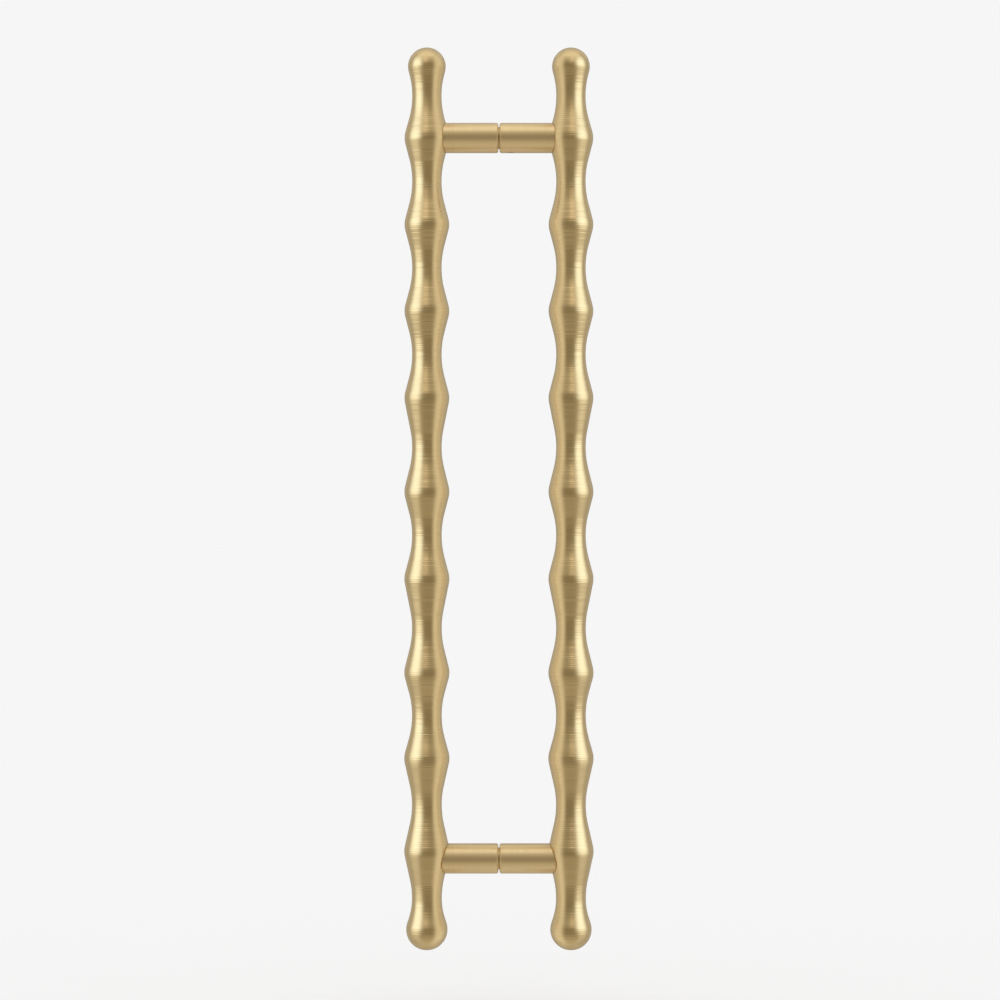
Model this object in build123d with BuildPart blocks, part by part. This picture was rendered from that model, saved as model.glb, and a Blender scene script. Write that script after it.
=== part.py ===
from build123d import *
import math
import os

# A back-to-back pair of turned brass door pulls with a cane outline, one pull for each side of the door.
# X runs through the door from the left pull to the right one, Z runs up along the bars, and the origin lies in
# the plane where the posts meet, midway between the upper and the lower pair of posts. All sizes are in mm.

# The bars and where they stand
post_centres = 457.2
bar_reach = 45.7
top_overhang = 57.3
foot_overhang = 58.1
knot_stations = (0.5, 0.38, 0.26, 0.139, 0.009, -0.112, -0.242, -0.361, -0.49)
waist_shares = (0.5, 0.5, 0.5, 0.525, 0.5, 0.525, 0.5, 0.5)
top_knot_dia = 28.2
foot_knot_dia = 28.7
knot_crest_radius = 15.4
top_waist_dia = 18.6
foot_waist_dia = 18.9
waist_hollow_radius = 55.0
tight_hollow_share = 0.97
top_neck_height = 26.8
foot_neck_height = 25.3
top_ball_dia = 23.9
foot_ball_dia = 26.2

# The posts and their seats in the bars
post_dia = 19.05
post_edge_radius = 1.3
post_root_radius = 0.4
post_gap = 0.8
seat_clearance = 0.1
seat_side_sink = 0.1

# The studs between posts and bars
stud_dia = 8.0
stud_in_bar = 11.0
stud_in_post = 12.0
stud_chamfer = 0.8
stud_key_width = 4.0
stud_key_depth = 4.0
tapping_clearance = 0.05
tapped_hole_spare = 1.0

# The fixing through the door: boss, socket, stud and grub screw
boss_dia = 14.0
boss_length = 14.0
boss_end_chamfer = 0.6
socket_clearance = 0.1
socket_spare = 1.5
through_stud_in_post = 13.0
through_stud_short = 2.0
grub_dia = 4.0
grub_from_door = 7.0
grub_groove_depth = 1.0
grub_sunk = 0.3
grub_key_width = 2.0
grub_key_depth = 1.2
grub_seat_gap = 0.05

# Sizes that follow from those above
post_r = post_dia / 2
stud_r = stud_dia / 2
tapped_r = stud_r + tapping_clearance
boss_r = boss_dia / 2
socket_r = boss_r + socket_clearance
socket_depth = boss_length - post_gap + socket_spare
grub_r = grub_dia / 2
post_heights = {"upper": post_centres / 2, "lower": -post_centres / 2}
knot_heights = [station * post_centres for station in knot_stations]
door_face = post_gap / 2


def along_bar(top_size, foot_size, height):
    """A size that changes evenly down the bar, from the upper posts to the lower ones."""
    share = (post_heights["upper"] - height) / post_centres
    return top_size + (foot_size - top_size) * share


# The seat floor lies deep enough for the sides of a post to stay buried where the knot is thinnest, which is at
# the lower post, a little below its knot
seat_r = post_r + seat_clearance
knot_offset = abs(post_heights["lower"] - knot_heights[-1])
knot_r_at_post = foot_knot_dia / 2 - knot_crest_radius + math.sqrt(knot_crest_radius**2 - knot_offset**2)
seat_floor = math.sqrt(knot_r_at_post**2 - seat_r**2) - seat_side_sink
post_root = bar_reach - seat_floor


def flank(crest, crest_radius, waist):
    """Where the straight flank leaves the crest's arc and where it meets the waist's hollow, tangent to both.

    A crest or a waist is its radius from the bar's axis and its height. The hollow is made tighter where the
    two stand too close together for the full one.
    """
    run = abs(waist[1] - crest[1])
    drop = crest[0] - waist[0]
    both = min(crest_radius + waist_hollow_radius, tight_hollow_share * (run**2 + drop**2) / (2 * drop))
    slope = math.asin(both / math.hypot(run, both - drop)) - math.atan2(both - drop, run)
    hollow = both - crest_radius
    way = math.copysign(1, waist[1] - crest[1])
    rise = 1 - math.cos(slope)
    on_crest = (crest[0] - crest_radius * rise, crest[1] + way * crest_radius * math.sin(slope))
    on_waist = (waist[0] + hollow * rise, waist[1] - way * hollow * math.sin(slope))
    return on_crest, on_waist


# Crests from the top ball down to the foot ball, each with its arc's radius, and the waists between them. In the
# two longest stretches the waist lies a little below the middle.
top_ball_height = post_heights["upper"] + top_overhang - top_ball_dia / 2
foot_ball_height = post_heights["lower"] - foot_overhang + foot_ball_dia / 2
crests = [(top_ball_dia / 2, top_ball_height)]
crests += [(along_bar(top_knot_dia, foot_knot_dia, height) / 2, height) for height in knot_heights]
crests += [(foot_ball_dia / 2, foot_ball_height)]
crest_radii = [top_ball_dia / 2] + [knot_crest_radius] * len(knot_heights) + [foot_ball_dia / 2]
waist_heights = [post_heights["upper"] + top_neck_height]
for above, below, share in zip(knot_heights, knot_heights[1:], waist_shares):
    waist_heights.append(above + (below - above) * share)
waist_heights += [post_heights["lower"] - foot_neck_height]
waists = [(along_bar(top_waist_dia, foot_waist_dia, height) / 2, height) for height in waist_heights]


def bar_outline():
    """Half the bar's section, drawn from the top of the upper ball down to the foot and back up the axis."""
    top = (0, top_ball_height + top_ball_dia / 2)
    foot = (0, foot_ball_height - foot_ball_dia / 2)
    crest_start = top
    for i, waist in enumerate(waists):
        crest_end, hollow_start = flank(crests[i], crest_radii[i], waist)
        next_crest_start, hollow_end = flank(crests[i + 1], crest_radii[i + 1], waist)
        ThreePointArc(crest_start, crests[i], crest_end)
        Line(crest_end, hollow_start)
        TangentArc(waist, hollow_start, tangent=(0, 1))
        TangentArc(waist, hollow_end, tangent=(0, -1))
        Line(hollow_end, next_crest_start)
        crest_start = next_crest_start
    ThreePointArc(crest_start, crests[-1], foot)
    Line(foot, top)


os.makedirs("parts", exist_ok=True)


def keep(piece, name):
    piece.part.label = name
    export_step(piece.part, f"parts/{name}.step")


# Each bar is turned in one piece. Two flat-bottomed seats are bored into the side that faces the door, one for
# each post, with a tapped hole in the floor of each.
for side_name, side in (("left", -1), ("right", 1)):
    axis_x = side * bar_reach
    with BuildPart() as bar:
        with BuildSketch(Plane(origin=(axis_x, 0, 0), x_dir=(1, 0, 0), z_dir=(0, -1, 0))):
            with BuildLine():
                bar_outline()
            make_face()
        revolve(axis=Axis((axis_x, 0, 0), (0, 0, 1)))
        for height in post_heights.values():
            seat = Plane(origin=(side * post_root, 0, height), x_dir=(0, 1, 0), z_dir=(-side, 0, 0))
            with BuildSketch(seat):
                Circle(seat_r)
            extrude(amount=foot_knot_dia, mode=Mode.SUBTRACT)
            with Locations(seat):
                Hole(tapped_r, depth=stud_in_bar + tapped_hole_spare)
    keep(bar, f"{side_name}_bar")

# Posts, from the seat floor to the door, with both edges rounded. Both ends are bored: the left posts are tapped
# for the through stud, and the right ones are sockets that slide over the boss.
for side_name, side in (("left", -1), ("right", 1)):
    for level_name, height in post_heights.items():
        root_end = Plane(origin=(side * post_root, 0, height), x_dir=(0, 1, 0), z_dir=(side, 0, 0))
        door_end = Plane(origin=(side * door_face, 0, height), x_dir=(0, 1, 0), z_dir=(-side, 0, 0))
        with BuildPart() as post:
            with BuildSketch(door_end):
                Circle(post_r)
            extrude(amount=-(post_root - door_face))
            door_edge = post.edges().filter_by(GeomType.CIRCLE).sort_by(Axis.X)[-1 if side < 0 else 0]
            fillet(door_edge, radius=post_edge_radius)
            root_edge = post.edges().filter_by(GeomType.CIRCLE).sort_by(Axis.X)[0 if side < 0 else -1]
            fillet(root_edge, radius=post_root_radius)
            with Locations(root_end):
                Hole(tapped_r, depth=stud_in_post + tapped_hole_spare)
            if side < 0:
                with Locations(door_end):
                    Hole(tapped_r, depth=through_stud_in_post + tapped_hole_spare)
            else:
                with Locations(door_end):
                    Hole(socket_r, depth=socket_depth)
                grub_hole = Plane(origin=(door_face + grub_from_door, 0, height - post_r), z_dir=(0, 0, -1))
                with Locations(grub_hole):
                    Hole(grub_r + tapping_clearance, depth=post_r)
        keep(post, f"{side_name}_{level_name}_post")

# Double-ended studs that draw the posts into their seats, with a hexagon key hole in the end inside the post
for side_name, side in (("left", -1), ("right", 1)):
    for level_name, height in post_heights.items():
        in_bar_end = Plane(origin=(side * (post_root + stud_in_bar), 0, height), z_dir=(-side, 0, 0))
        in_post_end = in_bar_end.offset(stud_in_bar + stud_in_post)
        with BuildPart() as stud:
            with BuildSketch(in_bar_end):
                Circle(stud_r)
            extrude(amount=stud_in_bar + stud_in_post)
            chamfer(stud.edges().filter_by(GeomType.CIRCLE), length=stud_chamfer)
            with BuildSketch(in_post_end):
                RegularPolygon(stud_key_width / 2, 6, major_radius=False)
            extrude(amount=-stud_key_depth, mode=Mode.SUBTRACT)
        keep(stud, f"{side_name}_{level_name}_bar_stud")

# Through studs, from the left posts across the door plane into the bosses
for level_name, height in post_heights.items():
    in_post_end = Plane(origin=(-door_face - through_stud_in_post, 0, height), z_dir=(1, 0, 0))
    through_stud_length = through_stud_in_post + boss_length - through_stud_short
    with BuildPart() as through_stud:
        with BuildSketch(in_post_end):
            Circle(stud_r)
        extrude(amount=through_stud_length)
        chamfer(through_stud.edges().filter_by(GeomType.CIRCLE), length=stud_chamfer)
        with BuildSketch(in_post_end.offset(through_stud_length)):
            RegularPolygon(stud_key_width / 2, 6, major_radius=False)
        extrude(amount=-stud_key_depth, mode=Mode.SUBTRACT)
    keep(through_stud, f"{level_name}_through_stud")

# Mounting bosses, tapped right through, screwed down against the left posts. A groove round each takes the
# point of the grub screw. They show as the core of the gap between the posts.
for level_name, height in post_heights.items():
    groove_x = door_face + grub_from_door
    boss_start = -door_face
    boss_end = boss_start + boss_length
    with BuildPart() as boss:
        with BuildSketch(Plane(origin=(0, 0, height), x_dir=(1, 0, 0), z_dir=(0, -1, 0))):
            with BuildLine():
                Polyline(
                    (boss_start, tapped_r),
                    (boss_start, boss_r),
                    (groove_x - grub_groove_depth, boss_r),
                    (groove_x, boss_r - grub_groove_depth),
                    (groove_x + grub_groove_depth, boss_r),
                    (boss_end - boss_end_chamfer, boss_r),
                    (boss_end, boss_r - boss_end_chamfer),
                    (boss_end, tapped_r),
                    close=True,
                )
            make_face()
        revolve(axis=Axis((0, 0, height), (1, 0, 0)))
    keep(boss, f"{level_name}_mounting_boss")

# Grub screws with cone points, in the underside of the right posts, just below the surface
for level_name, height in post_heights.items():
    grub_x = door_face + grub_from_door
    head = Plane(origin=(grub_x, 0, height - post_r + grub_sunk), z_dir=(0, 0, -1))
    point_height = boss_r - grub_groove_depth + grub_seat_gap
    grub_length = post_r - grub_sunk - point_height
    with BuildPart() as grub_screw:
        with BuildSketch(head):
            Circle(grub_r)
        extrude(amount=-grub_length)
        point_edge = grub_screw.edges().filter_by(GeomType.CIRCLE).sort_by(Axis.Z)[-1]
        chamfer(point_edge, length=grub_r - grub_seat_gap)
        with BuildSketch(head):
            RegularPolygon(grub_key_width / 2, 6, major_radius=False)
        extrude(amount=-grub_key_depth, mode=Mode.SUBTRACT)
    keep(grub_screw, f"{level_name}_grub_screw")
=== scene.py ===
import math

import bmesh
import bpy
from mathutils import Matrix, Vector


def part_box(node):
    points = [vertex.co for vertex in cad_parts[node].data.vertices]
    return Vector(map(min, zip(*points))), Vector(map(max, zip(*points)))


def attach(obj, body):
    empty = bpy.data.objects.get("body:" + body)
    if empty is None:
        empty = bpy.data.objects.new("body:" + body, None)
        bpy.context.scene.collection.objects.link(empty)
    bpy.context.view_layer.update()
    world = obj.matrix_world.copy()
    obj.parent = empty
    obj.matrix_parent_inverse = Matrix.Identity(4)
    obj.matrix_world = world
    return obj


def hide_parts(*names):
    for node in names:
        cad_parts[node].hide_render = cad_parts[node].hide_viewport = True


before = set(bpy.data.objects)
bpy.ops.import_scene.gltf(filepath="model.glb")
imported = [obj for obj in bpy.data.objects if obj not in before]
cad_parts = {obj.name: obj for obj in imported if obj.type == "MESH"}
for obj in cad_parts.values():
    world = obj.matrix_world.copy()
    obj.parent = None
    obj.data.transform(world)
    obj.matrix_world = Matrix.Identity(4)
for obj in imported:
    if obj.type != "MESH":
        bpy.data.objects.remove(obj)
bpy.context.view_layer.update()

mm = 0.001

# The two pulls
# Each bar is turned from one brass rod to a cane outline: nine knots, a waist between each two, and a ball at
# either end. Two flat-bottomed seats are bored in the side that faces the door, with a tapped hole in each, and
# the bar is then brushed round in the lathe, which leaves fine rings, and lacquered satin.
left_bar_low, left_bar_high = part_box("left_bar")
upper_post_low, upper_post_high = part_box("left_upper_post")
lower_post_low, lower_post_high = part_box("left_lower_post")
bar_reach = -(left_bar_low.x + left_bar_high.x) / 2
upper_post_height = (upper_post_low.z + upper_post_high.z) / 2
lower_post_height = (lower_post_low.z + lower_post_high.z) / 2
levels = {"upper": upper_post_height, "lower": lower_post_height}
post_centres = upper_post_height - lower_post_height
post_radius = (upper_post_high.z - upper_post_low.z) / 2
seat_floor = bar_reach + upper_post_low.x
knot_stations = (0.5, 0.38, 0.26, 0.139, 0.009, -0.112, -0.242, -0.361, -0.49)
waist_shares = (0.5, 0.5, 0.5, 0.525, 0.5, 0.525, 0.5, 0.5)
top_knot_radius = 14.1 * mm
foot_knot_radius = 14.35 * mm
knot_crest_radius = 15.4 * mm
top_waist_radius = 9.3 * mm
foot_waist_radius = 9.45 * mm
waist_hollow_radius = 55 * mm
tight_hollow_share = 0.97
top_neck_height = 26.8 * mm
foot_neck_height = 25.3 * mm
top_ball_radius = 11.95 * mm
foot_ball_radius = 13.1 * mm
seat_clearance = 0.1 * mm
tapped_radius = 4.05 * mm
bar_tapped_depth = 12 * mm
ring_spacing = 0.9 * mm
bar_sides = 112
bore_sides = 96
sharp_angle = math.radians(30)


def along_bar(top_size, foot_size, height):
    """A size that changes evenly down the bar, from the upper posts to the lower ones."""
    return top_size + (foot_size - top_size) * (upper_post_height - height) / post_centres


def flank(crest, waist):
    """The slope of the straight flank between a crest and a waist, and the radius of the hollow it runs into.

    A crest is its distance from the bar's axis, its height and the radius of its own arc, and a waist is its
    distance and its height. The hollow is made tighter where the two stand too close for the full one.
    """
    crest_reach, crest_height, crest_radius = crest
    waist_reach, waist_height = waist
    run = abs(waist_height - crest_height)
    drop = crest_reach - waist_reach
    both_radii = min(crest_radius + waist_hollow_radius, tight_hollow_share * (run**2 + drop**2) / (2 * drop))
    slope = math.asin(both_radii / math.hypot(run, both_radii - drop)) - math.atan2(both_radii - drop, run)
    return slope, both_radii - crest_radius


def arc(middle, radius, start, end, bulge=1):
    """Points on an arc of the outline, a ring apart. Angles are from level, and bulge -1 makes it a hollow."""
    steps = max(2, math.ceil(abs(end - start) * radius / ring_spacing))
    angles = [start + (end - start) * step / steps for step in range(steps + 1)]
    return [(middle[0] + bulge * radius * math.cos(a), middle[1] + radius * math.sin(a)) for a in angles]


def straight(start, end):
    """Points between the ends of a flank, a ring apart."""
    steps = max(1, round(math.dist(start, end) / ring_spacing))
    return [tuple(a + (b - a) * step / steps for a, b in zip(start, end)) for step in range(1, steps)]


def crest_arc(crest, start, end):
    """Points on a crest between two angles."""
    reach, height, radius = crest
    return arc((reach - radius, height), radius, start, end)


def cane_outline():
    """The bar's outline as radius and height, from the top of the upper ball down to the foot."""
    knots = [station * post_centres for station in knot_stations]
    crests = [(top_ball_radius, left_bar_high.z - top_ball_radius, top_ball_radius)]
    crests += [(along_bar(top_knot_radius, foot_knot_radius, z), z, knot_crest_radius) for z in knots]
    crests += [(foot_ball_radius, left_bar_low.z + foot_ball_radius, foot_ball_radius)]
    waist_heights = [upper_post_height + top_neck_height]
    for above, below, share in zip(knots, knots[1:], waist_shares):
        waist_heights.append(above + (below - above) * share)
    waist_heights += [lower_post_height - foot_neck_height]
    outline = crest_arc(crests[0], math.pi / 2, 0)
    for above, below, height in zip(crests, crests[1:], waist_heights):
        waist = (along_bar(top_waist_radius, foot_waist_radius, height), height)
        slope, hollow = flank(above, waist)
        crest_side = crest_arc(above, 0, -slope)
        waist_side = arc((waist[0] + hollow, height), hollow, slope, 0, bulge=-1)
        outline += crest_side[1:] + straight(crest_side[-1], waist_side[0]) + waist_side
        slope, hollow = flank(below, waist)
        waist_side = arc((waist[0] + hollow, height), hollow, 0, -slope, bulge=-1)
        crest_side = crest_arc(below, slope, 0)
        outline += waist_side[1:] + straight(waist_side[-1], crest_side[0]) + crest_side
    return outline + crest_arc(crests[-1], 0, -math.pi / 2)[1:]


def new_tree(name):
    """An empty Geometry Nodes tree that takes a mesh and gives a mesh."""
    tree = bpy.data.node_groups.new(name, "GeometryNodeTree")
    tree.is_modifier = True
    tree.interface.new_socket(name="Mesh", in_out="INPUT", socket_type="NodeSocketGeometry")
    tree.interface.new_socket(name="Mesh", in_out="OUTPUT", socket_type="NodeSocketGeometry")
    return tree


def size_input(tree, name, kind="NodeSocketFloat"):
    """Adds a named size to a tree and gives the identifier that a modifier sets it by."""
    return tree.interface.new_socket(name=name, in_out="INPUT", socket_type=kind).identifier


def add(tree, kind, settings=None, **inputs):
    """Adds a node. An input is named with _ for a space, and is a value or another node's output."""
    made = tree.nodes.new(kind)
    for name, value in (settings or {}).items():
        setattr(made, name, value)
    for name, value in inputs.items():
        place = int(name[len("slot_"):]) if name.startswith("slot_") else name.replace("_", " ")
        socket = made.inputs[place]
        if isinstance(value, bpy.types.NodeSocket):
            tree.links.new(value, socket)
        else:
            socket.default_value = value
    return made


def maths(tree, operation, *values):
    """The result of one step of arithmetic on numbers."""
    slots = {f"slot_{place}": value for place, value in enumerate(values)}
    return add(tree, "ShaderNodeMath", {"operation": operation}, **slots).outputs[0]


def vector_maths(tree, operation, *vectors):
    """The result of one step of arithmetic on directions or colours."""
    slots = {f"slot_{place}": vector for place, vector in enumerate(vectors)}
    return add(tree, "ShaderNodeVectorMath", {"operation": operation}, **slots).outputs[0]


def end_tree(tree, mesh_output):
    """Ends a tree in real, smooth geometry with its material on it."""
    material = size_input(tree, "Material", "NodeSocketMaterial")
    given = add(tree, "NodeGroupInput")
    real = add(tree, "GeometryNodeRealizeInstances", Geometry=mesh_output)
    smooth = add(tree, "GeometryNodeSetShadeSmooth", Geometry=real.outputs[0])
    dressed = add(tree, "GeometryNodeSetMaterial", Geometry=smooth.outputs[0], Material=given.outputs["Material"])
    tree.links.new(dressed.outputs[0], add(tree, "NodeGroupOutput").inputs[0])
    return material


def lathe_nodes(tree):
    """Turns the outline round the Z axis, and gives the turned mesh and the identifier of its number of sides.

    The outline is swept along a circle. The circle has a radius of its own, which the outline is shifted by, so
    that points on the axis meet there and are merged.
    """
    sides = size_input(tree, "Sides", "NodeSocketInt")
    given = add(tree, "NodeGroupInput")
    swing = 50 * mm
    merge_distance = 0.002 * mm
    outline = add(tree, "GeometryNodeMeshToCurve", Mesh=given.outputs["Mesh"])
    shifted = add(tree, "GeometryNodeTransform", Geometry=outline.outputs[0], Translation=(-swing, 0, 0))
    circle = add(tree, "GeometryNodeCurvePrimitiveCircle", Resolution=given.outputs["Sides"], Radius=swing)
    turned = add(tree, "GeometryNodeCurveToMesh", Curve=circle.outputs[0], Profile_Curve=shifted.outputs[0])
    closed = add(tree, "GeometryNodeMergeByDistance", Geometry=turned.outputs[0], Distance=merge_distance)
    return closed.outputs[0], sides


def bore(tree, mesh_output, sides, radius, length, spot, turn=(0, 0, 0)):
    """Cuts a hole in a mesh with a straight cutter of this many sides, its middle at the spot."""
    cutter = add(tree, "GeometryNodeMeshCylinder", Vertices=sides, Radius=radius, Depth=length)
    laid = add(tree, "GeometryNodeTransform", Geometry=cutter.outputs["Mesh"], Translation=spot, Rotation=turn)
    exact_cut = {"operation": "DIFFERENCE", "solver": "EXACT"}
    return add(tree, "GeometryNodeMeshBoolean", exact_cut, slot_0=mesh_output, slot_1=laid.outputs[0]).outputs[0]


def outline_object(name, points, ring=False):
    """An outline of radius and height as a chain of edges. The lathe reads height down its Y axis."""
    chain = bpy.data.meshes.new(name)
    edges = [(i, i + 1) for i in range(len(points) - 1)]
    if ring:
        edges.append((len(points) - 1, 0))
    chain.from_pydata([(radius, -height, 0) for radius, height in points], edges, [])
    shape = bpy.data.objects.new(name, chain)
    bpy.context.scene.collection.objects.link(shape)
    return shape


def made_mesh(shape, tree, inputs):
    """Runs a tree on an object with these inputs, and gives the result as a plain mesh with outward faces."""
    modifier = shape.modifiers.new(tree.name, "NODES")
    modifier.node_group = tree
    for identifier, value in inputs.items():
        modifier[identifier] = value
    shape.update_tag()
    evaluated = shape.evaluated_get(bpy.context.evaluated_depsgraph_get())
    mesh = bpy.data.meshes.new_from_object(evaluated)
    bpy.data.objects.remove(shape)
    work = bmesh.new()
    work.from_mesh(mesh)
    bmesh.ops.recalc_face_normals(work, faces=work.faces)
    work.to_mesh(mesh)
    work.free()
    mesh.shade_smooth()
    mesh.set_sharp_from_angle(angle=sharp_angle)
    return mesh


def keep_piece(mesh, name, place, node):
    """Puts a copy of the mesh in its place as a piece of its own, on the root body and instead of its CAD node."""
    own = mesh.copy()
    own.transform(place)
    own.name = name
    piece = bpy.data.objects.new(name, own)
    bpy.context.scene.collection.objects.link(piece)
    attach(piece, "root")
    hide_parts(node)
    return piece


def brushed_metal(name, colour, line_axis, ring_pitch, ring_tilt, ring_tint, gloss_blur, gloss_stretch):
    """Satin metal with fine rings round the piece, across line_axis: "X" along the posts or "Z" along the bars.

    The rings are feed marks, whose two flanks lean opposite ways along the axis, by ring_tilt at most. Each flank
    leans by a chance of its own, some stretches of the piece carry stronger marks than others, and a finer,
    broken grain lies over them. The gloss is drawn out across the rings.
    """
    ring_seed = 0.25
    flank_share, loose_share, grain_share = 0.75, 0.45, 0.06
    weakest_stretch = 0.75
    weak_noise, strong_noise = 0.35, 0.65
    stretches_in_metre = 45
    grain_across, grain_along = 90, 6000
    relief_low, relief_high = -0.35, 0.4
    blur_change = 0.035

    finish = bpy.data.materials.new(name)
    finish.use_nodes = True
    tree = finish.node_tree
    shader = tree.nodes["Principled BSDF"]
    shader.inputs["Metallic"].default_value = 1
    shader.inputs["Anisotropic"].default_value = gloss_stretch
    place = add(tree, "ShaderNodeTexCoord").outputs["Object"]
    along = add(tree, "ShaderNodeSeparateXYZ", Vector=place).outputs[line_axis]

    flank_number = maths(tree, "FLOOR", maths(tree, "DIVIDE", along, ring_pitch))
    draw = maths(tree, "ADD", flank_number, ring_seed)
    chance = add(tree, "ShaderNodeTexWhiteNoise", {"noise_dimensions": "1D"}, W=draw).outputs
    way = maths(tree, "SUBTRACT", maths(tree, "PINGPONG", flank_number, 1.0), 0.5)
    other_chance = add(tree, "ShaderNodeSeparateXYZ", Vector=chance["Color"]).outputs["Y"]
    loose = maths(tree, "MULTIPLY_ADD", other_chance, loose_share, -loose_share / 2)
    flanks = maths(tree, "MULTIPLY_ADD", maths(tree, "MULTIPLY", chance["Value"], way), flank_share, loose)
    stretches = add(
        tree, "ShaderNodeTexNoise", {"noise_dimensions": "1D"}, W=along, Scale=stretches_in_metre, Detail=1.0
    )
    strength = add(
        tree,
        "ShaderNodeMapRange",
        Value=stretches.outputs[0],
        From_Min=weak_noise,
        From_Max=strong_noise,
        To_Min=weakest_stretch,
    )
    slant = maths(tree, "MULTIPLY", flanks, strength.outputs[0])

    lean = maths(tree, "MULTIPLY", slant, 2 * math.tan(ring_tilt))
    lean_along = add(tree, "ShaderNodeCombineXYZ", **{line_axis: lean}).outputs[0]
    upright = add(tree, "ShaderNodeNewGeometry").outputs["Normal"]
    tilted = vector_maths(tree, "NORMALIZE", vector_maths(tree, "ADD", upright, lean_along))
    tree.links.new(tilted, shader.inputs["Normal"])

    grain_scale = [grain_across] * 3
    grain_scale["XYZ".index(line_axis)] = grain_along
    drawn_out = add(tree, "ShaderNodeMapping", Vector=place, Scale=grain_scale)
    grain = add(tree, "ShaderNodeTexNoise", Vector=drawn_out.outputs[0], Scale=1.0, Detail=2.0)
    relief = maths(tree, "MULTIPLY_ADD", grain.outputs[0], grain_share, slant)
    tint, blur = (
        add(
            tree,
            "ShaderNodeMapRange",
            Value=relief,
            From_Min=relief_low,
            From_Max=relief_high,
            To_Min=low,
            To_Max=high,
        ).outputs[0]
        for low, high in (
            (1 - ring_tint, 1 + ring_tint),
            (gloss_blur + blur_change, gloss_blur - blur_change),
        )
    )
    shade = add(tree, "ShaderNodeVectorMath", {"operation": "SCALE"}, slot_0=colour, Scale=tint)
    tree.links.new(shade.outputs[0], shader.inputs["Base Color"])
    tree.links.new(blur, shader.inputs["Roughness"])
    across = add(tree, "ShaderNodeCombineXYZ", **{line_axis: 1.0})
    tree.links.new(across.outputs[0], shader.inputs["Tangent"])
    return finish


def painted_joint_shade(finish, clear, width):
    """Painted shade: a thin brown line painted into a bar's colour round the root of each post.
    The line stands for the shade in the crease and the light that bounces off the brass twice there.

    It starts at this clear distance from a post's axis and fades out over the width.
    """
    tree = finish.node_tree
    shader = tree.nodes["Principled BSDF"]
    spot = add(tree, "ShaderNodeSeparateXYZ", Vector=add(tree, "ShaderNodeTexCoord").outputs["Object"]).outputs
    rises = [
        maths(tree, "ABSOLUTE", maths(tree, "SUBTRACT", spot["Z"], height)) for height in levels.values()
    ]
    from_axis = add(tree, "ShaderNodeCombineXYZ", Y=spot["Y"], Z=maths(tree, "MINIMUM", *rises)).outputs[0]
    away = add(tree, "ShaderNodeVectorMath", {"operation": "LENGTH"}, slot_0=from_axis).outputs["Value"]
    outside_line = add(tree, "ShaderNodeMapRange", Value=away, From_Min=clear, From_Max=clear + width).outputs[0]
    outer_side = maths(tree, "GREATER_THAN", maths(tree, "ABSOLUTE", spot["X"]), bar_reach)
    plain_share = maths(tree, "MAXIMUM", outside_line, outer_side)
    colour = shader.inputs["Base Color"].links[0].from_socket
    # Painted shade: the brass colour times itself, the colour of light bounced twice, darkens the line.
    twice = vector_maths(tree, "MULTIPLY", colour, colour)
    creased = add(tree, "ShaderNodeMix", {"data_type": "RGBA"}, slot_0=plain_share, slot_6=twice, slot_7=colour)
    tree.links.new(creased.outputs[2], shader.inputs["Base Color"])


turned_brass = brushed_metal(
    "turned brass",
    colour=(0.64, 0.48, 0.24),
    line_axis="Z",
    ring_pitch=0.6 * mm,
    ring_tilt=math.radians(6.2),
    ring_tint=0.02,
    gloss_blur=0.305,
    gloss_stretch=0.3,
)
# A painted brown shade line on the bars round the root of each post.
painted_joint_shade(turned_brass, clear=post_radius + 0.25 * mm, width=0.35 * mm)

bar_tree = new_tree("cane bar")
turned, bar_sides_id = lathe_nodes(bar_tree)
seat_sizes = {
    "Seat radius": post_radius + seat_clearance,
    "Seat floor": seat_floor,
    "Tapped radius": tapped_radius,
    "Tapped depth": bar_tapped_depth,
    "Upper post": upper_post_height,
    "Lower post": lower_post_height,
}
seat_inputs = {size_input(bar_tree, size_name): size for size_name, size in seat_sizes.items()}
bar_given = add(bar_tree, "NodeGroupInput").outputs
cutter_length = 40 * mm
along_x = (0, math.pi / 2, 0)
tapped_floor = maths(bar_tree, "SUBTRACT", bar_given["Seat floor"], bar_given["Tapped depth"])
bored = turned
for post in ("Upper post", "Lower post"):
    for radius, floor in (("Seat radius", bar_given["Seat floor"]), ("Tapped radius", tapped_floor)):
        middle = maths(bar_tree, "ADD", floor, cutter_length / 2)
        spot = add(bar_tree, "ShaderNodeCombineXYZ", X=middle, Z=bar_given[post]).outputs[0]
        bored = bore(bar_tree, bored, bore_sides, bar_given[radius], cutter_length, spot, along_x)
bar_material_id = end_tree(bar_tree, bored)
bar_mesh = made_mesh(
    outline_object("cane outline", cane_outline()),
    bar_tree,
    {bar_sides_id: bar_sides, **seat_inputs, bar_material_id: turned_brass},
)
left_place = Matrix.Translation((-bar_reach, 0, 0))
right_place = Matrix.Translation((bar_reach, 0, 0)) @ Matrix.Rotation(math.pi, 4, "Z")
left_bar = keep_piece(bar_mesh, "left_cane_bar", left_place, "left_bar")
right_bar = keep_piece(bar_mesh, "right_cane_bar", right_place, "right_bar")

# The four posts
# Short round brass posts with rounded edges, brushed round like the bars. The root of each sits in a bar's seat.
# The left ones are tapped at the door end for the through stud, and the right ones are bored as sockets that slide
# over a boss, with a hole in the underside for the grub screw that locks them.
post_length = upper_post_high.x - upper_post_low.x
door_edge_radius = 1.3 * mm
root_edge_radius = 0.4 * mm
root_tapped_depth = 13 * mm
door_tapped_depth = 14 * mm
socket_radius = 7.1 * mm
socket_depth = 14.7 * mm
grub_hole_radius = 2.05 * mm
grub_from_door = 7 * mm
grub_hole_sides = 48
post_sides = 96
edge_steps = 8


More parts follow.
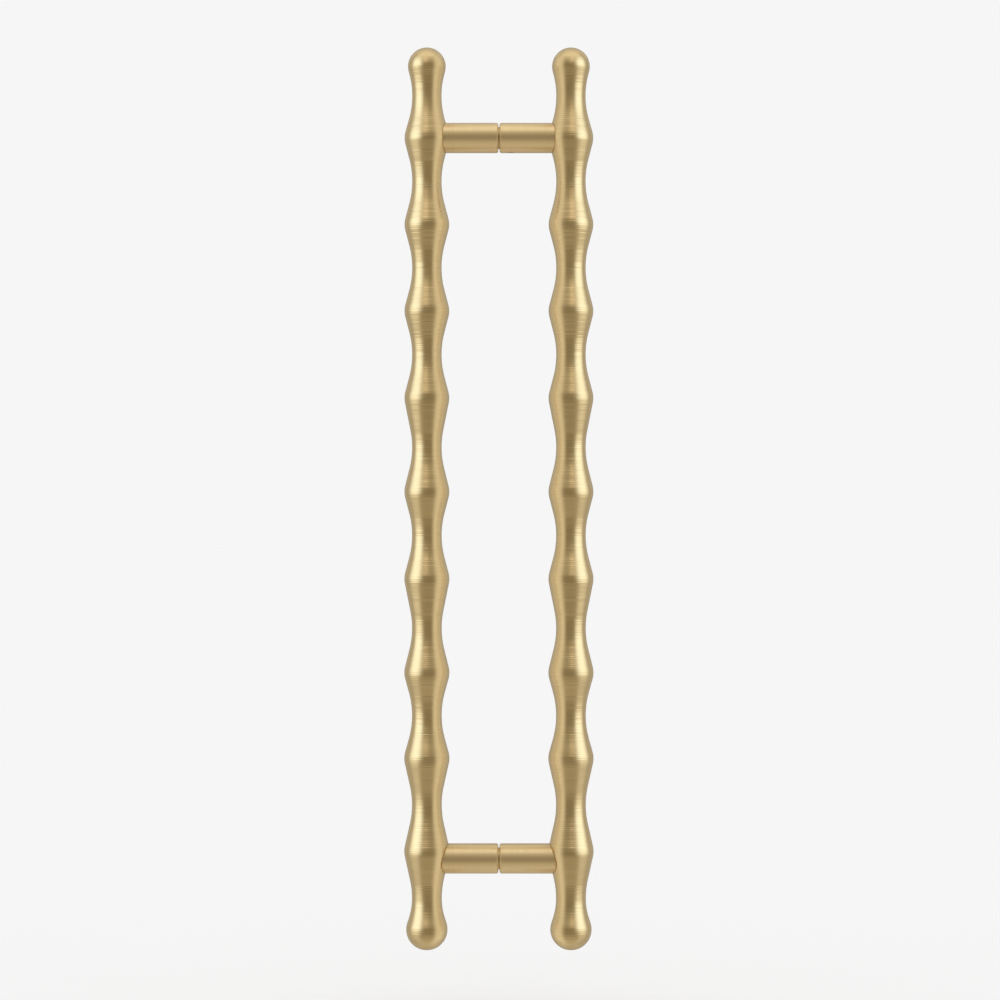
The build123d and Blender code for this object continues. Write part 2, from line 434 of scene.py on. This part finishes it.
def rounded_edge(edge_height, radius, way):
    """Points round the edge of a post at this height, in the order of the outline. Way is 1 at the door end."""
    middle = (post_radius - radius, edge_height - way * radius)
    turns = [math.pi / 2 * step / edge_steps for step in range(edge_steps + 1)]
    points = [(middle[0] + radius * math.cos(a), middle[1] + way * radius * math.sin(a)) for a in turns]
    return points if way > 0 else points[::-1]


def post_outline(bore_radius, bore_depth):
    """Half a post's section, from the bottom of the root's tapped hole round to that of the door end's bore."""
    outline = [(0, root_tapped_depth), (tapped_radius, root_tapped_depth), (tapped_radius, 0)]
    outline += rounded_edge(0, root_edge_radius, -1) + rounded_edge(post_length, door_edge_radius, 1)
    bore_floor = post_length - bore_depth
    return outline + [(bore_radius, post_length), (bore_radius, bore_floor), (0, bore_floor)]


post_brass = brushed_metal(
    "post brass",
    colour=(0.78, 0.595, 0.32),
    line_axis="X",
    ring_pitch=0.8 * mm,
    ring_tilt=math.radians(1.2),
    ring_tint=0.01,
    gloss_blur=0.43,
    gloss_stretch=0.8,
)

post_tree = new_tree("round post")
turned, post_sides_id = lathe_nodes(post_tree)
locked_id = size_input(post_tree, "Grub hole", "NodeSocketBool")
hole_radius_id = size_input(post_tree, "Grub hole radius")
hole_height_id = size_input(post_tree, "Grub hole from root")
post_given = add(post_tree, "NodeGroupInput").outputs
hole_spot = add(post_tree, "ShaderNodeCombineXYZ", X=-post_radius, Z=post_given["Grub hole from root"]).outputs[0]
drilled = bore(
    post_tree, turned, grub_hole_sides, post_given["Grub hole radius"], 2 * post_radius, hole_spot, along_x
)
chosen = add(
    post_tree,
    "GeometryNodeSwitch",
    {"input_type": "GEOMETRY"},
    Switch=post_given["Grub hole"],
    slot_1=turned,
    slot_2=drilled,
)
post_material_id = end_tree(post_tree, chosen.outputs[0])
for side_name, side, bore_radius, bore_depth in (
    ("left", -1, tapped_radius, door_tapped_depth),
    ("right", 1, socket_radius, socket_depth),
):
    post_mesh = made_mesh(
        outline_object(f"{side_name} post outline", post_outline(bore_radius, bore_depth)),
        post_tree,
        {
            post_sides_id: post_sides,
            locked_id: side > 0,
            hole_radius_id: grub_hole_radius,
            hole_height_id: post_length - grub_from_door,
            post_material_id: post_brass,
        },
    )
    towards_door = Matrix.Rotation(-side * math.pi / 2, 4, "Y")
    for level_name, height in levels.items():
        root = Matrix.Translation((-side * upper_post_low.x, 0, height))
        node = f"{side_name}_{level_name}_post"
        keep_piece(post_mesh, f"{side_name}_{level_name}_round_post", root @ towards_door, node)

# The mounting bosses
# Turned brass sleeves, tapped right through, screwed down on the through studs against the left posts. A groove
# round each takes the point of a grub screw. Only a sliver of each shows, as the core of the gap.
boss_low, boss_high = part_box("upper_mounting_boss")
boss_radius = (boss_high.z - boss_low.z) / 2
boss_length = boss_high.x - boss_low.x
boss_end_chamfer = 0.6 * mm
groove_depth = 1 * mm
groove_place = grub_from_door - upper_post_high.x - boss_low.x
boss_outline = [
    (tapped_radius, 0),
    (boss_radius, 0),
    (boss_radius, groove_place - groove_depth),
    (boss_radius - groove_depth, groove_place),
    (boss_radius, groove_place + groove_depth),
    (boss_radius, boss_length - boss_end_chamfer),
    (boss_radius - boss_end_chamfer, boss_length),
    (tapped_radius, boss_length),
]
boss_brass = brushed_metal(
    "boss brass",
    colour=(0.70, 0.52, 0.26),
    line_axis="X",
    ring_pitch=0.5 * mm,
    ring_tilt=math.radians(3),
    ring_tint=0.05,
    gloss_blur=0.36,
    gloss_stretch=0.6,
)
boss_tree = new_tree("mounting boss")
turned, boss_sides_id = lathe_nodes(boss_tree)
boss_material_id = end_tree(boss_tree, turned)
boss_mesh = made_mesh(
    outline_object("boss outline", boss_outline, ring=True),
    boss_tree,
    {boss_sides_id: post_sides, boss_material_id: boss_brass},
)
to_the_right = Matrix.Rotation(math.pi / 2, 4, "Y")
for level_name, height in levels.items():
    place = Matrix.Translation((boss_low.x, 0, height)) @ to_the_right
    keep_piece(boss_mesh, f"{level_name}_core_boss", place, f"{level_name}_mounting_boss")

# The studs and the grub screws
# Stainless studs join the posts to the bars and run through the door into the bosses, and short grub screws with
# cone points lock the right posts. All have rolled threads, cut ends and a hexagon key hole in one end.
stud_low, stud_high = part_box("left_upper_bar_stud")
through_low, through_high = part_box("upper_through_stud")
grub_low, grub_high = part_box("upper_grub_screw")
thread_sides = 40
rows_in_pitch = 8
key_sides = 6
thread_depth_share = 0.61
thread_top, thread_bottom = 0.06, 0.44


def threaded_tree():
    """The tree for a threaded stud along Z, with its key hole at the top, and its inputs' identifiers by name."""
    tree = new_tree("threaded stud")
    names = (
        "Length", "Radius", "Pitch", "Thread depth", "Key end chamfer", "Far end chamfer", "Key radius", "Key depth"
    )
    ids = {name: size_input(tree, name) for name in names}
    ids["Rows"] = size_input(tree, "Rows", "NodeSocketInt")
    given = add(tree, "NodeGroupInput").outputs
    rod = add(
        tree,
        "GeometryNodeMeshCylinder",
        Vertices=thread_sides,
        Side_Segments=given["Rows"],
        Radius=given["Radius"],
        Depth=given["Length"],
    )
    spot = add(tree, "ShaderNodeSeparateXYZ", Vector=add(tree, "GeometryNodeInputPosition").outputs[0]).outputs
    share_round = maths(tree, "DIVIDE", maths(tree, "ARCTAN2", spot["Y"], spot["X"]), 2 * math.pi)
    turns = maths(tree, "SUBTRACT", maths(tree, "DIVIDE", spot["Z"], given["Pitch"]), share_round)
    down_flank = add(
        tree,
        "ShaderNodeMapRange",
        Value=maths(tree, "PINGPONG", turns, 0.5),
        From_Min=thread_top,
        From_Max=thread_bottom,
    ).outputs[0]
    thread = maths(tree, "SUBTRACT", given["Radius"], maths(tree, "MULTIPLY", down_flank, given["Thread depth"]))
    half = maths(tree, "MULTIPLY", given["Length"], 0.5)
    cones = [
        maths(
            tree, "SUBTRACT", maths(tree, "ADD", maths(tree, way, half, spot["Z"]), given["Radius"]), given[chamfer]
        )
        for way, chamfer in (("SUBTRACT", "Key end chamfer"), ("ADD", "Far end chamfer"))
    ]
    radius = maths(tree, "MINIMUM", thread, maths(tree, "MINIMUM", *cones))
    share = maths(tree, "DIVIDE", radius, given["Radius"])
    moved = add(
        tree,
        "ShaderNodeCombineXYZ",
        X=maths(tree, "MULTIPLY", spot["X"], share),
        Y=maths(tree, "MULTIPLY", spot["Y"], share),
        Z=spot["Z"],
    )
    threaded = add(tree, "GeometryNodeSetPosition", Geometry=rod.outputs["Mesh"], Position=moved.outputs[0])
    key_spot = add(tree, "ShaderNodeCombineXYZ", Z=half).outputs[0]
    key_length = maths(tree, "MULTIPLY", given["Key depth"], 2.0)
    keyed = bore(tree, threaded.outputs[0], key_sides, given["Key radius"], key_length, key_spot)
    ids["Material"] = end_tree(tree, keyed)
    return tree, ids


def threaded_mesh(name, length, radius, pitch, key_width, key_depth, key_chamfer, far_chamfer, material):
    """The mesh of one kind of stud or screw. The key's width is across its flats."""
    tree, ids = threads
    sizes = {
        "Length": length,
        "Radius": radius,
        "Pitch": pitch,
        "Thread depth": pitch * thread_depth_share,
        "Key end chamfer": key_chamfer,
        "Far end chamfer": far_chamfer,
        "Key radius": key_width / math.sqrt(3),
        "Key depth": key_depth,
        "Rows": round(length / pitch * rows_in_pitch),
        "Material": material,
    }
    return made_mesh(outline_object(name, [(0, 0)]), tree, {ids[size]: value for size, value in sizes.items()})


def centre_of(node):
    """The place of the middle of a CAD node's box."""
    low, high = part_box(node)
    return Matrix.Translation((low + high) / 2)


stud_steel = brushed_metal(
    "stud steel",
    colour=(0.56, 0.56, 0.57),
    line_axis="X",
    ring_pitch=0.4 * mm,
    ring_tilt=math.radians(2),
    ring_tint=0.05,
    gloss_blur=0.36,
    gloss_stretch=0.3,
)
grub_steel = brushed_metal(
    "grub screw steel",
    colour=(0.42, 0.42, 0.43),
    line_axis="Z",
    ring_pitch=0.3 * mm,
    ring_tilt=math.radians(2),
    ring_tint=0.06,
    gloss_blur=0.38,
    gloss_stretch=0.3,
)
threads = threaded_tree()
m8_stud = {
    "radius": 4 * mm,
    "pitch": 1.25 * mm,
    "key_width": 4 * mm,
    "key_depth": 4 * mm,
    "key_chamfer": 0.8 * mm,
    "far_chamfer": 0.8 * mm,
    "material": stud_steel,
}
bar_stud_mesh = threaded_mesh("bar stud", length=stud_high.x - stud_low.x, **m8_stud)
through_stud_mesh = threaded_mesh("through stud", length=through_high.x - through_low.x, **m8_stud)
grub_mesh = threaded_mesh(
    "grub screw",
    length=grub_high.z - grub_low.z,
    radius=2 * mm,
    pitch=0.7 * mm,
    key_width=2 * mm,
    key_depth=1.2 * mm,
    key_chamfer=0.2 * mm,
    far_chamfer=1.95 * mm,
    material=grub_steel,
)
key_down = Matrix.Rotation(math.pi, 4, "X")
for level_name in levels:
    for side_name, side in (("left", -1), ("right", 1)):
        node = f"{side_name}_{level_name}_bar_stud"
        place = centre_of(node) @ Matrix.Rotation(-side * math.pi / 2, 4, "Y")
        keep_piece(bar_stud_mesh, f"{side_name}_{level_name}_threaded_stud", place, node)
    node = f"{level_name}_through_stud"
    keep_piece(through_stud_mesh, f"{level_name}_long_stud", centre_of(node) @ to_the_right, node)
    node = f"{level_name}_grub_screw"
    keep_piece(grub_mesh, f"{level_name}_cone_grub_screw", centre_of(node) @ key_down, node)

# The floor
# A wide pale floor below the pulls, matt and seen from above only. It glows a little to the camera, so that it
# runs into the backdrop without a horizon, and the metal doesn't reflect it.
floor_height = -330 * mm
floor_size = 40.0
floor_colour = (0.9, 0.9, 0.9, 1)
floor_glow_colour = (0.99, 1, 1.045, 1)
floor_glow_level = 0.183
floor_mesh = bpy.data.meshes.new("floor")
floor_corners = [(x * floor_size / 2, y * floor_size / 2) for x, y in ((-1, -1), (1, -1), (1, 1), (-1, 1))]
floor_mesh.from_pydata([(x, y, floor_height) for x, y in floor_corners], [], [(0, 1, 2, 3)])
floor = bpy.data.objects.new("floor", floor_mesh)
bpy.context.scene.collection.objects.link(floor)
floor.visible_glossy = False
floor_paint = bpy.data.materials.new("floor paint")
floor_paint.use_nodes = True
floor_nodes = floor_paint.node_tree
floor_nodes.nodes.clear()
floor_path = add(floor_nodes, "ShaderNodeLightPath").outputs
glow_strength = maths(floor_nodes, "MULTIPLY", floor_path["Is Camera Ray"], floor_glow_level)
floor_matt = add(floor_nodes, "ShaderNodeBsdfDiffuse", Color=floor_colour)
floor_glow = add(floor_nodes, "ShaderNodeEmission", Color=floor_glow_colour, Strength=glow_strength)
floor_above = add(floor_nodes, "ShaderNodeAddShader", slot_0=floor_matt.outputs[0], slot_1=floor_glow.outputs[0])
floor_below = add(floor_nodes, "ShaderNodeBsdfTransparent")
floor_side = add(
    floor_nodes,
    "ShaderNodeMixShader",
    slot_0=add(floor_nodes, "ShaderNodeNewGeometry").outputs["Backfacing"],
    slot_1=floor_above.outputs[0],
    slot_2=floor_below.outputs[0],
)
floor_nodes.links.new(floor_side.outputs[0], add(floor_nodes, "ShaderNodeOutputMaterial").inputs["Surface"])
floor_mesh.materials.append(floor_paint)

# The studio
# The pale walls of a light tent, painted on the world for the metal to reflect: a dark gap on the camera's side,
# dimmer behind, and open over the front. The camera itself sees a plain backdrop. A stop is a place in degrees, a
# level and, where it changes with height, how warm it is.
backdrop_colour = (0.9216, 0.9216, 0.9216, 1)
open_top_level = 1.2
world = bpy.data.worlds.new("studio")
bpy.context.scene.world = world
world.use_nodes = True
sky = world.node_tree
sky.nodes.clear()


def ramp(tree, value, stops):
    """A colour ramp over value, from a list of place and colour."""
    made = add(tree, "ShaderNodeValToRGB", Fac=value)
    made.color_ramp.interpolation = "EASE"
    while len(made.color_ramp.elements) < len(stops):
        made.color_ramp.elements.new(1)
    for element, (place, colour) in zip(made.color_ramp.elements, stops):
        element.position = place
        element.color = (*colour, 1)
    return made.outputs["Color"]


def grey(level, warmth=0.0):
    """The colour of a pale surface at this level, made redder and less blue by the warmth."""
    return (level * (1 + warmth / 2), level, level * (1 - warmth))


axes = add(sky, "ShaderNodeSeparateXYZ", Vector=add(sky, "ShaderNodeTexCoord").outputs["Generated"]).outputs
sideways = maths(sky, "ABSOLUTE", axes["X"])
towards = maths(sky, "MULTIPLY", axes["Y"], -1.0)
round_share = maths(sky, "DIVIDE", maths(sky, "ARCTAN2", sideways, towards), math.pi)
height_angle = maths(sky, "ARCSINE", axes["Z"])
height_share = add(sky, "ShaderNodeMapRange", Value=height_angle, From_Min=-math.pi / 2, From_Max=math.pi / 2)


def by_height(stops):
    """A level that changes with height over the horizon, from a list of degrees, level and warmth."""
    return ramp(sky, height_share.outputs[0], [((degrees + 90) / 180, grey(*shade)) for degrees, *shade in stops])


def by_turn(stops):
    """A share or level that changes with the angle from the camera's side, from a list of degrees and level."""
    return ramp(sky, round_share, [(degrees / 180, grey(share)) for degrees, share in stops])


def blended(share, first, second):
    """The first colour where the share is 0, and the second where it is 1."""
    return add(sky, "ShaderNodeMix", {"data_type": "RGBA"}, slot_0=share, slot_6=first, slot_7=second).outputs[2]


surround = by_turn([(0, 0.96), (40, 0.96), (60, 0.8), (88, 0.78), (104, 0.58)])
behind = by_height([(-90, 0.95), (-65, 0.85, 0.05), (-40, 0.68, 0.05), (-10, 0.63), (18, 0.70), (34, 0.94)])
far_behind = by_height([(-50, 0.62, 0.08), (-20, 0.40, 0.08), (15, 0.40, 0.08), (36, 0.56), (62, 0.82)])
camera_gap_stops = [(-90, 0.8, 0.1), (-60, 0.66, 0.1), (-34, 0.54, 0.15), (-12, 0.29, 0.2)]
camera_gap_stops += [(8, 0.27, 0.2), (36, 0.54, 0.12), (54, 0.9)]
camera_gap = by_height(camera_gap_stops)
walls = blended(by_turn([(118, 0), (136, 1)]), surround, behind)
walls = blended(by_turn([(140, 0), (160, 1)]), walls, far_behind)
walls = blended(by_turn([(36, 1), (58, 0)]), walls, camera_gap)
open_top = (*grey(open_top_level), 1)
forward_share = add(sky, "ShaderNodeMapRange", Value=towards, From_Min=-1.0, From_Max=1.0).outputs[0]
over_front = ramp(sky, forward_share, [(0.34, grey(0)), (0.52, grey(1))])
overhead = maths(sky, "MULTIPLY", by_height([(39, 0), (60, 1)]), over_front)
tent = add(sky, "ShaderNodeBackground", Color=blended(overhead, walls, open_top), Strength=1.0)
backdrop = add(sky, "ShaderNodeBackground", Color=backdrop_colour, Strength=1.0)
light_path = add(sky, "ShaderNodeLightPath").outputs
seen = maths(sky, "MAXIMUM", light_path["Is Camera Ray"], light_path["Is Transmission Ray"])
shown = add(sky, "ShaderNodeMixShader", slot_0=seen, slot_1=tent.outputs[0], slot_2=backdrop.outputs[0])
sky.links.new(shown.outputs[0], add(sky, "ShaderNodeOutputWorld").inputs["Surface"])

# The lamps
# Each pull has the same far lamps in mirror image, which light that pull alone: a tall softbox on its outer side,
# warm at its inner edge and foot, a high card near the front, and on its inner side a broad and a narrow card for
# the light that comes back from the neighbouring pull. Angles are in degrees.
lamp_distance = 40.0
open_cloth = ((0, 1), (1, 1))
soft_sides = ((0, 0.02), (0.18, 0.27), (0.29, 1), (0.57, 1), (0.99, 0))
soft_ends = ((0, 0), (0.34, 1), (0.62, 1), (1, 0))
white = grey(1)
softbox_tones = {"inner_tone": (1.1, 0.99, 0.82), "foot_tone": (1.26, 0.97, 0.67)}
inner_tone_place, inner_tone_end = 0.14, 0.36
foot_tone_end = 0.36


def mirrored(stops):
    """The stops of a ramp in the opposite direction."""
    return [(1 - place, shade) for place, shade in reversed(stops)]


def far_lamp(
    pull, side, name, turn, half_width, foot, top, sides, ends, brightness, colour, inner_tone=white, foot_tone=white
):
    """A rectangular lamp that lights one pull, at this turn from the camera's side towards the pull's outer side.

    Sides are the stops of its fade from the inner edge to the outer one, and ends from its foot to its top.
    """
    lamp = bpy.data.lights.new(f"{pull.name} {name}", "AREA")
    lamp.shape = "RECTANGLE"
    lamp.size = 2 * lamp_distance * math.tan(math.radians(half_width))
    foot_height, top_height = (lamp_distance * math.tan(math.radians(rise)) for rise in (foot, top))
    lamp.size_y = top_height - foot_height
    lamp.energy = brightness * lamp.size * lamp.size_y
    lamp.color = colour
    lamp.use_nodes = True
    glow = lamp.node_tree
    spot = add(glow, "ShaderNodeSeparateXYZ", Vector=add(glow, "ShaderNodeNewGeometry").outputs["Parametric"])
    from_inside = [(place, grey(light)) for place, light in sides]
    inner_edge = [(inner_tone_place, inner_tone), (inner_tone_end, white)]
    if side < 0:
        from_inside, inner_edge = mirrored(from_inside), mirrored(inner_edge)
    shade = ramp(glow, spot.outputs["X"], from_inside)
    for axis, stops in (
        ("Y", [(place, grey(light)) for place, light in ends]),
        ("X", inner_edge),
        ("Y", [(0, foot_tone), (foot_tone_end, white)]),
    ):
        shade = vector_maths(glow, "MULTIPLY", shade, ramp(glow, spot.outputs[axis], stops))
    glow.links.new(shade, glow.nodes["Emission"].inputs["Color"])
    lamp_object = bpy.data.objects.new(lamp.name, lamp)
    bpy.context.scene.collection.objects.link(lamp_object)
    way = Vector((side * math.sin(math.radians(turn)), -math.cos(math.radians(turn)), 0))
    lamp_object.location = way * lamp_distance + Vector((0, 0, (foot_height + top_height) / 2))
    lamp_object.rotation_euler = way.to_track_quat("Z", "Y").to_euler()
    lamp_object.visible_camera = False
    return lamp_object


for pull, side in ((left_bar, -1), (right_bar, 1)):
    lit_pieces = bpy.data.collections.new(f"lit from the {'left' if side < 0 else 'right'}")
    lit_pieces.objects.link(pull)
    for lamp_object in (
        far_lamp(
            pull, side, "tall softbox", turn=61.5, half_width=46, foot=-22.5, top=48,
            sides=soft_sides, ends=soft_ends, brightness=4.8, colour=(0.69, 0.883, 1.2), **softbox_tones,
        ),
        far_lamp(
            pull, side, "high card", turn=8, half_width=24, foot=16, top=51,
            sides=soft_ends, ends=soft_ends, brightness=1.8, colour=(1.0, 0.92, 0.92),
        ),
        far_lamp(
            pull, side, "inner card", turn=-88.5, half_width=33, foot=-72, top=49,
            sides=open_cloth, ends=open_cloth, brightness=0.78, colour=white,
        ),
        far_lamp(
            pull, side, "neighbour card", turn=-96, half_width=10, foot=-49, top=49,
            sides=open_cloth, ends=open_cloth, brightness=0.5, colour=(0.8, 1.0, 1.3),
        ),
    ):
        lamp_object.light_linking.receiver_collection = lit_pieces
        lamp_object.light_linking.blocker_collection = lit_pieces

# The camera
# It stands straight in front, level with the middle of the pulls, as far off as the reflections in the photograph
# suggest. The scale is a real size per pixel at the pulls, whose middle falls on the middle column and row.
picture_scale = 0.63464 * mm
picture_pixels = 1000
middle_column = 498.9
middle_row = 498.22
camera_distance = 1.85
lens_view = bpy.data.cameras.new("camera")
lens_view.sensor_width = 36
lens_view.lens = lens_view.sensor_width * camera_distance / (picture_pixels * picture_scale)
camera = bpy.data.objects.new("camera", lens_view)
bpy.context.scene.collection.objects.link(camera)
camera.location = (
    (picture_pixels / 2 - middle_column) * picture_scale,
    -camera_distance,
    (middle_row - picture_pixels / 2) * picture_scale,
)
camera.rotation_euler = (math.pi / 2, 0, 0)
bpy.context.scene.camera = camera
bpy.context.scene.view_settings.view_transform = "Standard"
